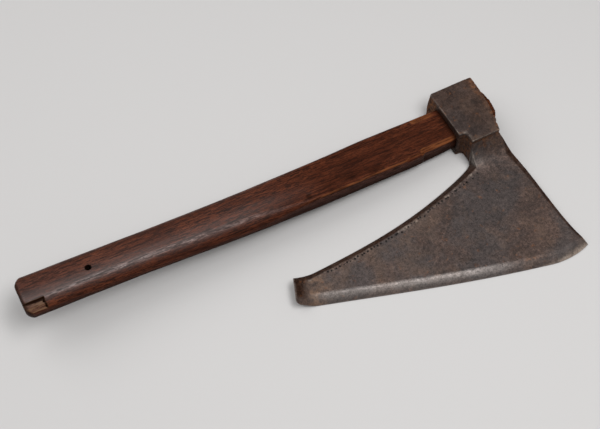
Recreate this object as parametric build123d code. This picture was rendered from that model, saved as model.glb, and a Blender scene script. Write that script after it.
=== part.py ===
from build123d import *
import os
from math import exp, hypot

# Flat-backed broad axe, lying on the flat back of its blade. Millimetres, +Z up.
# The head is laid out with X along the haft (0 at the face where the haft enters
# the eye), Y across the haft (0 on its axis, the blade towards -Y) and Z = 0 on
# the flat back. Everything is moved at the end so that the origin is the middle
# of the whole axe, at the level it rests on.

# ---- driving dimensions -------------------------------------------------------
# eye socket
SOCKET_HEIGHT = 40.0        # flat back to the top of the socket
SOCKET_LENGTH = 52.0        # along the haft, at the poll
SOCKET_MIDDLE = 50.5        # the same half way down the exit side, which bows
POLL_Y = 38.0               # outside face of the poll
ENTRY_SKEW = 1.0            # the entry face leans back towards the grip by this, at the poll
NEAR_WALL_Y = -24.5         # outside face of the wall next to the hand gap
STEP_Y = -38.0              # where the socket is welded to the blade
NECK_LEFT = 8.5             # neck of the head, side facing the haft
NECK_RIGHT = 43.0           # neck of the head, side of the eye's exit
NECK_FILLET = 4.0           # inside corner between that wall and the neck
SOCKET_CORNER = 2.0         # worn upright corners
# eye
EYE_NEAR_Y = -20.0          # its side next to the hand gap
EYE_FAR_Y = 24.0            # its side next to the poll
EYE_HEIGHT = 24.0
EYE_FLOOR = 6.0             # wall under the eye
EYE_CORNER = 6.0
# blade
NECK_HEIGHT = 34.0          # blade at the weld, a step below the socket's top
MIDDLE_HEIGHT = 13.5        # blade just past the neck's slope, if carried to the weld
PLATE_HEIGHT = 5.5          # thickness that the face falls towards, at the edge
NECK_SLOPE_RUN = 8.0        # how fast the neck falls to the face
FACE_SLOPE_RUN = 60.0       # how fast the face thins to the plate
EDGE_THICKNESS = 0.6        # the ground edge has lost its last sharpness
BEVEL_WIDTH = 10.0          # single bevel along the cutting edge
CHAMFER_WIDTH = 7.0         # chamfer of the hollow side, measured across
CHAMFER_FLOOR = 4.5         # upright side left below that chamfer
TOE_LIFT = 13.5             # the toe's tip is curled up off the flat
TOE_CORNER = 5.0            # radius in plan, where the toe meets the edge
TOE_CURL_LENGTH = 26.0      # length of blade that the curl takes
TOE_CURL_POWER = 1.6        # 1 would be a straight bend, more is a rounder curl
TOE_THIN = 0.5              # share of the blade's thickness left at the tip
STEEL_TOP = 22.0            # the steel shows this far back on the face
STEEL_BACK = 38.0           # and this far back on the flat side: a scarf weld
STEEL_TOP_SHARE = 0.5       # but at the narrow toe, no more of its width than this
STEEL_BACK_SHARE = 0.65
BEVEL_SHARE = 0.3
CHAMFER_SHARE = 0.25
HEEL_CHAMFER = 5.0          # chamfer of the heel side, by the neck
HEEL_CHAMFER_TIP = 1.5      # the same at the heel's tip
# haft
HAFT_LENGTH = 495.0         # outside the eye
HAFT_PROUD = 7.0            # haft end standing out of the eye's exit, at most
END_RADIUS = 65.0           # the end is worn round in plan
END_Y = 6.0                 # where it stands out most
HAFT_RISE = 34.0            # the butt is offset upwards, to clear the knuckles
HAFT_RISE_POWER = 1.25
BUTT_ROUND = 4.0            # worn end of the grip
HOLE_X = -422.0             # lanyard hole
HOLE_RADIUS = 3.25
SPLIT_LENGTH = 22.0         # corner split off the grip's end
SPLIT_Y = -11.2             # its upright wall
SPLIT_FLOOR = 59.7          # foot of that wall
SPLIT_FALL = 0.57           # the floor falls away outwards: Z lost per Y
# wedges
WEDGE_LENGTH = 44.0
WEDGE_WIDTH = 36.0
WEDGE_THICK = 5.0
WEDGE_THIN = 1.5
WEDGE_PROUD = 0.8
CROSS_LENGTH = 23.0
CROSS_WIDTH = 18.0
CROSS_THICK = 3.5
CROSS_THIN = 0.8
CROSS_Y = 8.0
CROSS_PROUD = 1.5

EYE_CENTRE_Y = (EYE_NEAR_Y + EYE_FAR_Y) / 2
EYE_CENTRE_Z = EYE_FLOOR + EYE_HEIGHT / 2
HAFT_END_X = SOCKET_LENGTH + HAFT_PROUD
CLEAR = 60.0                # reach of cutting solids past what they cut

# Plan of the blade: each curve is the four control points of a cubic.
HOLLOW_LONG = [(-235.7, -85), (-140, -83), (-90, -78), (-20, -56)]
HOLLOW_NECK = [(-20, -56), (-5.5, -51), (NECK_LEFT - 0.5, -47), (NECK_LEFT, STEP_Y)]
EDGE_LONG = [(-245.5, -111.7), (-148, -142), (-83, -166), (20, -190)]
EDGE_HEEL = [(20, -190), (36, -193.5), (55, -192), (67, -187)]
HEEL_SIDE = [(NECK_RIGHT, STEP_Y), (66, -50), (52, -150), (67, -187)]

# Where each curve is cut into sections, 0 to 1 along it, and where the upright cuts
# near the neck have their points, in mm from the weld.
LONG_STATIONS = (0, 0.025, 0.05, 0.075, 0.1, 0.25, 0.4, 0.55, 0.7, 0.85, 1)
LONG_EDGE_SHARE = 0.84      # the long hollow faces this much of the long edge
NECK_STATIONS = (0.4, 0.75, 1)
WELD_STATIONS = (0, 0.25, 0.5, 0.75, 1)
WELD_OVERRUN = 10.0         # the last section lies this far past the heel side
HEEL_OVERRUN = 1.2          # and reaches this far along the edge's last curve
NECK_SLOPE_POINTS = [3, 7, 12, 20, 45, 80]
HEEL_STATIONS = (0.08, 0.3, 0.6, 0.9, 1.05)

# Haft sections outside the eye: (X, reach from the axis towards the blade, reach
# towards the poll, thickness, corner radius).
HAFT_SECTIONS = [
    (BUTT_ROUND - HAFT_LENGTH, 20.3, 21.8, 27.0, 9.0),
    (-440, 20.2, 22.2, 27.5, 11.0),
    (-340, 22.2, 21.6, 27.0, 12.0),
    (-240, 24.7, 22.0, 26.5, 11.0),
    (-160, 24.0, 22.5, 26.0, 8.0),
    (-97, 23.2, 24.8, 25.0, 6.5),
    (-45, 20.8, 24.0, 24.4, 6.0),
    (0, -EYE_NEAR_Y, EYE_FAR_Y, EYE_HEIGHT, EYE_CORNER),
]


def cubic(controls, t):
    """Plan point at t, 0 to 1, on a cubic curve with four control points."""
    (x0, y0), (x1, y1), (x2, y2), (x3, y3) = controls
    a, b, c, d = (1 - t) ** 3, 3 * (1 - t) ** 2 * t, 3 * (1 - t) * t ** 2, t ** 3
    return (a * x0 + b * x1 + c * x2 + d * x3, a * y0 + b * y1 + c * y2 + d * y3)


# ---- blade --------------------------------------------------------------------
def face_height(y):
    """Thickness of the blade: thick at the neck and thin at the edge."""
    run = max(0.0, STEP_Y - y)
    neck = (NECK_HEIGHT - MIDDLE_HEIGHT) * exp(-run / NECK_SLOPE_RUN)
    face = (MIDDLE_HEIGHT - PLATE_HEIGHT) * exp(-run / FACE_SLOPE_RUN)
    return PLATE_HEIGHT + face + neck


def toe_share(x):
    """1 at the tip of the toe, 0 where the curl begins."""
    return max(0.0, 1 - (x - HOLLOW_LONG[0][0]) / TOE_CURL_LENGTH)


class Section:
    """One upright cut through the blade, from start, its back, to the edge."""

    def __init__(self, start, edge):
        self.start, self.edge = start, edge
        self.length = hypot(edge[0] - start[0], edge[1] - start[1])
        curl = toe_share(start[0])
        self.lift = TOE_LIFT * curl ** TOE_CURL_POWER
        self.thin = 1 - (1 - TOE_THIN) * curl
        self.steel_top = min(STEEL_TOP, STEEL_TOP_SHARE * self.length)
        self.steel_back = min(STEEL_BACK, STEEL_BACK_SHARE * self.length)
        self.bevel = min(BEVEL_WIDTH, BEVEL_SHARE * self.length)
        self.chamfer = min(CHAMFER_WIDTH, CHAMFER_SHARE * self.length)

    def point(self, distance, height=None):
        """A point of the cut: on the face of the blade, or at a given height."""
        share = distance / self.length
        x = self.start[0] + share * (self.edge[0] - self.start[0])
        y = self.start[1] + share * (self.edge[1] - self.start[1])
        if height is None:
            height = face_height(y)
        return (x, y, self.lift + self.thin * height)

    def iron(self, distances, back_height):
        """Outline of the iron, whose back face has the given height."""
        points = [self.point(0, 0), self.point(0, back_height)]
        points += [self.point(distance) for distance in distances]
        points += [self.point(self.length - self.steel_top)]
        points += [self.point(self.length - self.steel_back, 0)]
        return Face(Wire.make_polygon(points, close=True))

    def steel(self):
        """Outline of the steel, down to the ground bevel."""
        points = [
            self.point(self.length - self.steel_back, 0),
            self.point(self.length - self.steel_top),
            self.point(self.length - self.bevel),
            self.point(self.length, EDGE_THICKNESS),
            self.point(self.length, 0),
        ]
        return Face(Wire.make_polygon(points, close=True))


def hollow_sections():
    """Sections that start on the hollow side, from the toe to the neck."""
    sections = []
    for t in LONG_STATIONS:
        edge = cubic(EDGE_LONG, t * (1 - (1 - LONG_EDGE_SHARE) * t))
        sections.append(Section(cubic(HOLLOW_LONG, t), edge))
    for t in NECK_STATIONS:
        edge = cubic(EDGE_LONG, LONG_EDGE_SHARE + (1 - LONG_EDGE_SHARE) * t)
        sections.append(Section(cubic(HOLLOW_NECK, t), edge))
    return sections


def neck_sections():
    """Sections that start at the weld, running on past the heel side."""
    sections = []
    for t in WELD_STATIONS:
        x = NECK_LEFT + t * (NECK_RIGHT + WELD_OVERRUN - NECK_LEFT)
        sections.append(Section((x, STEP_Y), cubic(EDGE_HEEL, HEEL_OVERRUN * t)))
    return sections


def beyond_heel():
    """Everything on the far side of the heel curve."""
    curve = Bezier(*HEEL_SIDE)
    top, tip = curve @ 0, curve @ 1
    corners = [tip + Vector(CLEAR * 0.2, -CLEAR), tip + Vector(CLEAR, 0)]
    corners += [top + Vector(CLEAR, CLEAR), top + Vector(-2, CLEAR * 0.5), top]
    outline = Wire([curve] + list(Polyline(tip, *corners).edges()))
    return extrude(Face(outline), SOCKET_HEIGHT + CLEAR).moved(Pos(0, 0, -CLEAR / 2))


def toe_corner():
    """What the rounding takes off the toe's corner."""
    corner = Vector(*EDGE_LONG[0])
    along_toe = (Vector(*HOLLOW_LONG[0]) - corner).normalized() * TOE_CORNER
    along_edge = (Vector(*EDGE_LONG[1]) - corner).normalized() * TOE_CORNER
    middle = corner + along_toe + along_edge
    nearest = middle - (along_toe + along_edge).normalized() * TOE_CORNER
    outside = corner - along_toe - along_edge
    arc = ThreePointArc(corner + along_toe, nearest, corner + along_edge)
    outline = Polyline(corner + along_edge, outside, corner + along_toe)
    return extrude(make_face([arc, outline]), SOCKET_HEIGHT)


def heel_chamfer():
    """What the worn chamfer takes off the arris of the heel side."""
    cuts = []
    for t in HEEL_STATIONS:
        x, y = cubic(HEEL_SIDE, t)
        width = HEEL_CHAMFER + (HEEL_CHAMFER_TIP - HEEL_CHAMFER) * min(t, 1)
        top = face_height(y)
        above = top + CLEAR
        corners = [(x - width, y, top), (x - width, y, above), (x + width, y, above)]
        corners += [(x + width, y, top - 2 * width)]
        cuts.append(Face(Wire.make_polygon(corners, close=True)))
    return Solid.make_loft([cut.outer_wire() for cut in cuts], True)


def loft_straight(faces):
    return Solid.make_loft([face.outer_wire() for face in faces], True)


def make_blade():
    hollow = hollow_sections()
    neck = neck_sections()
    hollow_faces = []
    for section in hollow:
        middle = (section.chamfer + section.length - section.steel_top) / 2
        hollow_faces.append(section.iron([section.chamfer, middle], CHAMFER_FLOOR))
    neck_faces = [section.iron(NECK_SLOPE_POINTS, NECK_HEIGHT) for section in neck]
    blade = loft_straight(hollow_faces) + loft_straight(neck_faces)
    return blade - beyond_heel() - heel_chamfer()


def make_cutting_steel():
    faces = [section.steel() for section in hollow_sections() + neck_sections()[1:]]
    return loft_straight(faces) - beyond_heel() - heel_chamfer() - toe_corner()


# ---- haft and wedges ------------------------------------------------------------
def haft_centre(x):
    """Height of the haft's axis: level in the eye and rising to the butt."""
    return EYE_CENTRE_Z + HAFT_RISE * (max(0.0, -x) / HAFT_LENGTH) ** HAFT_RISE_POWER


def across(x, near, far, thickness, corner):
    """A rounded section across the haft at X, between two places in Y."""
    middle = (x, (near + far) / 2, haft_centre(x))
    plane = Plane(origin=middle, x_dir=(0, 1, 0), z_dir=(1, 0, 0))
    return plane * RectangleRounded(far - near, thickness, corner)


def eye_plug(start, end):
    """The eye's section, from start to end along X."""
    section = across(0, EYE_NEAR_Y, EYE_FAR_Y, EYE_HEIGHT, EYE_CORNER)
    return extrude(section.moved(Pos(start, 0, 0)), end - start, dir=(1, 0, 0))


def rounded_end(proud):
    """Upright drum whose front is the haft's rounded end, or stands proud of it."""
    drum = Cylinder(END_RADIUS + proud, 2 * CLEAR)
    return drum.moved(Pos(HAFT_END_X - END_RADIUS, END_Y, EYE_CENTRE_Z))


def make_taper(length, width, thick, thin, y):
    """Flat taper with its thin end inside the eye; thickness is along Z."""
    thin_x = HAFT_END_X - length
    end_x = HAFT_END_X + CLEAR
    end_thick = thin + (thick - thin) * (end_x - thin_x) / length
    outline = Polyline(
        (thin_x, EYE_CENTRE_Z - thin / 2),
        (thin_x, EYE_CENTRE_Z + thin / 2),
        (end_x, EYE_CENTRE_Z + end_thick / 2),
        (end_x, EYE_CENTRE_Z - end_thick / 2),
        close=True,
    )
    side = Plane.XZ * make_face(outline)
    return extrude(side, width / 2, both=True).moved(Pos(0, y, 0))


def make_wooden_wedge():
    wedge = make_taper(WEDGE_LENGTH, WEDGE_WIDTH, WEDGE_THICK, WEDGE_THIN, EYE_CENTRE_Y)
    return wedge & rounded_end(WEDGE_PROUD)


def make_cross_wedge():
    wedge = make_taper(CROSS_LENGTH, CROSS_WIDTH, CROSS_THICK, CROSS_THIN, 0)
    turn = Axis((0, 0, EYE_CENTRE_Z), (1, 0, 0))
    return wedge.rotate(turn, 90).moved(Pos(0, CROSS_Y, 0)) & rounded_end(CROSS_PROUD)


def make_split():
    """The corner that has split off the grip's end."""
    reach = CLEAR / 2
    foot, rim = (SPLIT_Y, SPLIT_FLOOR), (SPLIT_Y - reach, SPLIT_FLOOR - reach * SPLIT_FALL)
    above = SPLIT_FLOOR + reach
    outline = Polyline(foot, rim, (rim[0], above), (SPLIT_Y, above), close=True)
    end = Plane(origin=(-HAFT_LENGTH - reach, 0, 0), x_dir=(0, 1, 0), z_dir=(1, 0, 0))
    return extrude(end * make_face(outline), reach + SPLIT_LENGTH)


def make_haft():
    sections = [across(x, -near, far, thick, corner) for x, near, far, thick, corner in HAFT_SECTIONS]
    haft = loft(sections)
    x, near, far, thick, corner = HAFT_SECTIONS[0]
    worn = BUTT_ROUND / 2
    small = across(-HAFT_LENGTH, worn - near, far - worn, thick - BUTT_ROUND, corner - worn)
    haft += loft([small, sections[0]])
    haft += eye_plug(0, HAFT_END_X + CLEAR) & rounded_end(0)
    haft -= make_split()
    haft -= Cylinder(HOLE_RADIUS, CLEAR).moved(Pos(HOLE_X, 0, haft_centre(HOLE_X)))
    return haft


# ---- eye socket -----------------------------------------------------------------
def corner_kind(edge):
    """0 at the weld to the blade, 1 in the inside corner, 2 on the outside."""
    place = edge.center()
    if place.Y < NEAR_WALL_Y - 1:
        return 0
    return 1 if place.Y < NEAR_WALL_Y + 1 and place.X > 1 else 2


def make_eye_socket():
    near_corner = (NECK_LEFT, NEAR_WALL_Y)
    outline = Polyline((NECK_RIGHT, STEP_Y), (NECK_LEFT, STEP_Y), near_corner, (0, NEAR_WALL_Y),
                       (-ENTRY_SKEW, POLL_Y), (SOCKET_LENGTH, POLL_Y))
    exit_side = ThreePointArc((SOCKET_LENGTH, POLL_Y), (SOCKET_MIDDLE, 0), (NECK_RIGHT, STEP_Y))
    socket = extrude(make_face([outline, exit_side]), SOCKET_HEIGHT)
    outside = socket.edges().filter_by(Axis.Z).group_by(corner_kind)[2]
    socket = fillet(outside, SOCKET_CORNER)
    inside = socket.edges().filter_by(Axis.Z).group_by(corner_kind)[1]
    socket = fillet(inside, NECK_FILLET)
    return socket - eye_plug(-CLEAR, CLEAR * 2)


def make_axe():
    wooden_wedge = make_wooden_wedge()
    cross_wedge = make_cross_wedge()
    return {
        "eye_socket": make_eye_socket(),
        "blade": make_blade(),
        "cutting_steel": make_cutting_steel(),
        "haft": make_haft() - wooden_wedge - cross_wedge,
        "wooden_wedge": wooden_wedge - cross_wedge,
        "iron_cross_wedge": cross_wedge,
    }


axe = make_axe()
whole = Compound(children=[Compound(children=shape.solids()) for shape in axe.values()]).bounding_box()
to_origin = Pos(-whole.center().X, -whole.center().Y, -whole.min.Z)
os.makedirs("parts", exist_ok=True)
for name, shape in axe.items():
    export_step(shape.moved(to_origin), f"parts/{name}.step")
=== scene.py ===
import functools
import math

import bmesh
import bpy
import numpy as np
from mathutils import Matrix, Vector
from mathutils.geometry import delaunay_2d_cdt


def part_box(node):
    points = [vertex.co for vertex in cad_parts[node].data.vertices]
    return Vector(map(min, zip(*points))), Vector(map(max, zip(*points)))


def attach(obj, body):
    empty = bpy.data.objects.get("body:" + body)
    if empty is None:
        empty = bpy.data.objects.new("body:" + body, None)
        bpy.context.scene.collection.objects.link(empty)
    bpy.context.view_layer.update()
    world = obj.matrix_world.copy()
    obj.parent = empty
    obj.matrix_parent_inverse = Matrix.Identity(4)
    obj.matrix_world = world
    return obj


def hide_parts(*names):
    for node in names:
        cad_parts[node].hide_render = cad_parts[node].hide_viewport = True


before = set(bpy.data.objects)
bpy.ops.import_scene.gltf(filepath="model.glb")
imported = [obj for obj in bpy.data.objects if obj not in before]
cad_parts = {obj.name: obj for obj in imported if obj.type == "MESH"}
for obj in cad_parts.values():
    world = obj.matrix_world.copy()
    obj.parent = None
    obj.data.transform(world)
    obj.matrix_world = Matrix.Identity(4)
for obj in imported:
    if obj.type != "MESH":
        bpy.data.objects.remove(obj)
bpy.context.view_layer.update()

# The axe is shaped in millimetres in the head's own frame, as a smith would lay it
# out: X along the haft (0 where the haft enters the eye), Y across it (0 on its
# axis, the blade towards -Y), Z up from the flat back. in_frame() puts the result
# where the CAD has it, in metres.
MM = 0.001
HAFT_LENGTH = 495.0         # from the butt to the eye's entry
HAFT_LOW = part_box("haft")[0]
SOCKET_LOW, SOCKET_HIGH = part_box("eye_socket")
HEAD = np.array([HAFT_LOW.x / MM + HAFT_LENGTH, (SOCKET_LOW.y + SOCKET_HIGH.y) / 2 / MM, 0.0])
RNG = np.random.default_rng(27)


def in_frame(points):
    return (np.asarray(points, float) + HEAD) * MM


# ---- noise
def lattice(cell, seed):
    """A fixed pseudo-random number, 0 to 1, for each whole-number cell."""
    x, y, z = (cell[..., k].astype(np.int64) for k in range(3))
    h = (x * 374761393 + y * 668265263 + z * 2147483647 + seed * 144665) & 0xFFFFFFFF
    h = ((h ^ (h >> 13)) * 1274126177) & 0xFFFFFFFF
    h = ((h ^ (h >> 16)) * 2246822519) & 0xFFFFFFFF
    return ((h ^ (h >> 15)) & 0xFFFFFF) / float(0xFFFFFF)


def value_noise(points, size, seed):
    """Smooth noise, -1 to 1, whose bumps are about size across (a number or x, y, z)."""
    p = np.asarray(points, float) / np.asarray(size, float)
    cell = np.floor(p)
    f = p - cell
    f = f * f * f * (f * (f * 6 - 15) + 10)
    total = 0
    for corner in range(8):
        step = np.array([corner & 1, corner >> 1 & 1, corner >> 2 & 1])
        weight = np.prod(np.where(step, f, 1 - f), axis=-1)
        total = total + weight * lattice(cell + step, seed)
    return total * 2 - 1


def fractal(points, size, seed, octaves=3):
    """Smooth noise with ever finer noise on top."""
    total, weight = 0, 1.0
    for octave in range(octaves):
        scaled = np.asarray(size, float) / 2 ** octave
        total = total + weight * value_noise(points, scaled, seed + 17 * octave)
        weight *= 0.5
    return total / (2 - 2 * weight)


def fade(low, high, value):
    """0 where value is at low, 1 where it is at high, and smooth between."""
    t = np.clip((value - low) / (high - low), 0, 1)
    return t * t * (3 - 2 * t)


def smooth_min(a, b, blend):
    """The lower of two heights, with the corner between them rounded."""
    h = np.clip(0.5 + 0.5 * (b - a) / blend, 0, 1)
    return b + (a - b) * h - blend * h * (1 - h)


def peak(value, centre, width):
    """1 where value is at centre, falling off over width to either side."""
    return np.exp(-((value - centre) / width) ** 2)


def most(*values):
    """The highest of several values, point by point."""
    return functools.reduce(np.maximum, values)


# ---- meshes
def new_object(name, mesh):
    thing = bpy.data.objects.new(name, mesh)
    bpy.context.scene.collection.objects.link(thing)
    return thing


def new_mesh(name, points, faces):
    """A mesh from points in the head's frame."""
    mesh = bpy.data.meshes.new(name)
    mesh.from_pydata([tuple(p) for p in in_frame(points)], [], faces)
    mesh.update()
    return mesh


def finish_piece(name, mesh, node, material, sharp_angle=35):
    """A visible piece made of a mesh, which stands for a CAD node."""
    bm = bmesh.new()
    bm.from_mesh(mesh)
    bmesh.ops.recalc_face_normals(bm, faces=bm.faces)
    bm.to_mesh(mesh)
    bm.free()
    mesh.polygons.foreach_set("use_smooth", [True] * len(mesh.polygons))
    mesh.set_sharp_from_angle(angle=math.radians(sharp_angle))
    piece = new_object(name, mesh)
    mesh.materials.clear()
    mesh.materials.append(material)
    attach(piece, "root")
    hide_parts(node)


def rows_of(items, key, width, kind=float):
    """One property of a mesh's vertices, edges or attribute values, a row for each."""
    values = np.empty(len(items) * width, kind)
    items.foreach_get(key, values)
    return values.reshape(-1, width)


def head_points(mesh):
    return rows_of(mesh.vertices, "co", 3) / MM - HEAD


def set_head_points(mesh, points):
    mesh.vertices.foreach_set("co", in_frame(points).ravel())
    mesh.update()


def normals_of(mesh):
    return rows_of(mesh.vertices, "normal", 3)


def paint_places(mesh, name, points):
    """A place per vertex, in metres, for a texture that follows the piece's own shape."""
    attribute = mesh.attributes.new(name, "FLOAT_VECTOR", "POINT")
    attribute.data.foreach_set("vector", (np.asarray(points) * MM).astype(np.float32).ravel())


def store(mesh, name, values):
    attribute = mesh.attributes.new(name, "FLOAT", "POINT")
    attribute.data.foreach_set("value", values.astype(np.float32))


def paint(mesh, **layers):
    """Numbers per vertex, 0 to 1, that the materials read, such as how worn the metal is."""
    for name, values in layers.items():
        store(mesh, name, np.clip(np.broadcast_to(values, len(mesh.vertices)), 0, 1))


# ---- blade outline
STEP_Y = -38.0              # the socket's edge, where the blade is welded on
NECK_LEFT = 8.5
NECK_RIGHT = 43.0
HOLLOW_LONG = [(-235.7, -85), (-140, -83), (-90, -78), (-20, -56)]
HOLLOW_NECK = [(-20, -56), (-5.5, -51), (NECK_LEFT - 0.5, -47), (NECK_LEFT, STEP_Y)]
EDGE_LONG = [(-245.5, -111.7), (-148, -142), (-83, -166), (20, -190)]
EDGE_HEEL = [(20, -190), (36, -193.5), (55, -192), (67, -187)]
HEEL_SIDE = [(NECK_RIGHT, STEP_Y), (66, -50), (52, -150), (67, -187)]


def cubic(controls, t):
    """Points at t, 0 to 1, on a cubic curve with four control points."""
    t = np.asarray(t, float)[..., None]
    u = 1 - t
    p = np.array(controls, float)
    return u ** 3 * p[0] + 3 * u ** 2 * t * p[1] + 3 * u * t ** 2 * p[2] + t ** 3 * p[3]


def joined(*curves):
    """One fine polyline through several cubic curves, end to end."""
    steps = np.linspace(0, 1, 160)
    parts = [cubic(curve, steps if k == 0 else steps[1:]) for k, curve in enumerate(curves)]
    return np.concatenate(parts)


HOLLOW = joined(HOLLOW_LONG, HOLLOW_NECK)
EDGE = joined(EDGE_LONG, EDGE_HEEL)
HEEL = joined(HEEL_SIDE)


def lengths_along(line):
    return np.concatenate([[0], np.cumsum(np.linalg.norm(np.diff(line, axis=0), axis=1))])


def spaced(line, count, start=0.0, end=1.0):
    """count points evenly spaced along part of a polyline."""
    line = np.asarray(line)
    s = lengths_along(line)
    at = np.linspace(start, end, count) * s[-1]
    return np.stack([np.interp(at, s, line[:, k]) for k in range(2)], 1)


def distance(points, line):
    """How far each plan point lies from a polyline."""
    start, run = line[:-1], np.diff(line, axis=0)
    square = (run ** 2).sum(1)
    gaps = []
    for chunk in np.array_split(points, max(1, len(points) // CHUNK)):
        t = np.clip(((chunk[:, None] - start) * run).sum(2) / square, 0, 1)
        gaps.append(np.linalg.norm(chunk[:, None] - (start + t[..., None] * run), axis=2).min(1))
    return np.concatenate(gaps)


def offset(line, amount, side):
    """The polyline moved sideways by amount: side 1 is to its left, -1 to its right."""
    tangent = np.gradient(line, axis=0)
    tangent /= np.linalg.norm(tangent, axis=1)[:, None]
    normal = np.stack([-tangent[:, 1], tangent[:, 0]], 1) * side
    return line + normal * np.asarray(amount)[..., None]


# ---- blade heights
NECK_HEIGHT = 34.0
MIDDLE_HEIGHT = 13.5
PLATE_HEIGHT = 5.5
NECK_SLOPE_RUN = 8.0
FACE_SLOPE_RUN = 60.0
EDGE_THICKNESS = 0.6
BEVEL_WIDTH = 11.5
CHAMFER_WIDTH = 6.6
CHAMFER_FLOOR = 4.5
STOP_Y = -54.5              # the hollow chamfer stops at a corner on the neck
NECK_STOP_X = 6.8
NECK_WALL_X = 7.2
NECK_WALL_RUN = 0.7         # the neck's side leans by this much
TOE_LIFT = 13.5
TOE_CURL_LENGTH = 24.0
TOE_THIN = 0.5
STEEL_TOP = 22.0            # from the cutting edge to the steel's weld, on the face
STEEL_BACK = 38.0           # and on the back
ROUNDING = 0.7              # worn rim along every side but the cutting edge
HEEL_CHAMFER_SLOPE = 0.4
TOE_CORNER = 5.0
RUST_SPECK = (24.0, -40.2)

TOE_START, TOE_END = HOLLOW[0], EDGE[0]
TOE_ALONG = (TOE_END - TOE_START) / np.linalg.norm(TOE_END - TOE_START)
TOE_INWARD = np.array([-TOE_ALONG[1], TOE_ALONG[0]])


def toe_share(xy):
    """1 at the toe's tip, 0 where the curl begins."""
    return np.clip(1 - (xy - TOE_START) @ TOE_INWARD / TOE_CURL_LENGTH, 0, 1)


def lift(xy):
    """How far the toe's curl has raised the blade."""
    return TOE_LIFT * toe_share(xy) ** 1.6


def base_height(xy):
    """The blade's face before it is ground, thinning from the neck to the plate."""
    run = np.maximum(0, STEP_Y - xy[:, 1])
    neck = (NECK_HEIGHT - MIDDLE_HEIGHT) * np.exp(-run / NECK_SLOPE_RUN)
    face = (MIDDLE_HEIGHT - PLATE_HEIGHT) * np.exp(-run / FACE_SLOPE_RUN)
    return PLATE_HEIGHT + face + neck


def neck_wall_x(y):
    """Where the neck's left side meets its top face."""
    return NECK_WALL_X + (y - STEP_Y) * (NECK_WALL_X - NECK_STOP_X) / (STEP_Y - STOP_Y)


def side_distances(xy):
    """How far plan points lie from the hollow side, cutting edge, heel side and toe."""
    toe = np.abs((xy - TOE_START) @ TOE_INWARD)
    return distance(xy, HOLLOW), distance(xy, EDGE), distance(xy, HEEL), toe


def skirt_slope(y):
    """Rise of the hollow side's chamfer: steeper towards the neck."""
    return np.interp(y, [-85, -77, -66], [0.70, 0.80, 0.97])


def skirt_width(xy):
    return (base_height(xy) - CHAMFER_FLOOR) / skirt_slope(xy[:, 1])


def blade_top(xy):
    """Height of the blade's face: plate, dents, chamfers, bevel, worn rim and curled toe."""
    x, y = xy.T
    hollow, edge, heel, toe = side_distances(xy)
    height = base_height(xy) + dents(xy)
    skirt = CHAMFER_FLOOR + skirt_slope(y) * hollow
    beside_neck = (y > STOP_Y) & (x < neck_wall_x(y) - NECK_WALL_RUN * 0.5)
    hollowed = np.where(y < STOP_Y, smooth_min(height, skirt, 0.5), height)
    height = np.where(beside_neck, np.minimum(skirt, height), hollowed)
    height = height - HEEL_CHAMFER_SLOPE * np.maximum(0, heel_chamfer_width(y) - heel)
    ground = 1 - (1 - np.clip(edge / BEVEL_WIDTH, 0, 1)) ** 1.5
    height = EDGE_THICKNESS + (height - EDGE_THICKNESS) * ground
    rim = np.minimum(np.minimum(hollow, toe), heel)
    inside = np.clip(1 - rim / ROUNDING, 0, 1)
    height = height - ROUNDING * (1 - np.sqrt(1 - inside ** 2)) * (y < STEP_Y - 1)
    return height * (1 - (1 - TOE_THIN) * toe_share(xy)) + lift(xy)


def dents(xy):
    """Forging unevenness and a few hammer dents, in mm."""
    flat = np.column_stack([xy, np.zeros(len(xy))])
    uneven = 0.3 * fractal(flat, 45, 3) + 0.12 * fractal(flat, 9, 5)
    for x, y, radius, depth in DENTS:
        gap = np.hypot(xy[:, 0] - x, xy[:, 1] - y) / radius
        uneven = uneven - depth * np.exp(-gap ** 2 * 2)
    return uneven * fade(STEP_Y + 1, STEP_Y - 8, xy[:, 1])


DENTS = [(RNG.uniform(-190, 55), RNG.uniform(-175, -60), RNG.uniform(2.5, 7), RNG.uniform(0.1, 0.35))
         for _ in range(40)]


# ---- blade meshes
SPACING = 1.0
BACK_SPACING = 3.0
GRID_ROW = 0.866            # rows of an even triangle grid, in spacings
GRID_CLEARANCE = 0.55       # kept free round fixed points, in spacings
EXTRA_CLEARANCE = 0.08
CHUNK = 2000                # points handled at a time, to spare memory
RIM_ROWS = (0.18, 0.42, 0.75)
EDGE_ROWS = (0.3, 0.9)
WELD_POINTS = 280
TOE_POINTS = 14


def inside_loop(points, loop):
    """Which plan points lie inside a closed polygon."""
    x, y = points.T
    inside = np.zeros(len(points), bool)
    for (x0, y0), (x1, y1) in zip(loop, np.roll(loop, -1, 0)):
        if y0 == y1:
            continue
        crosses = (y0 > y) != (y1 > y)
        inside ^= crosses & (x < (x1 - x0) * (y - y0) / (y1 - y0) + x0)
    return inside


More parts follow.
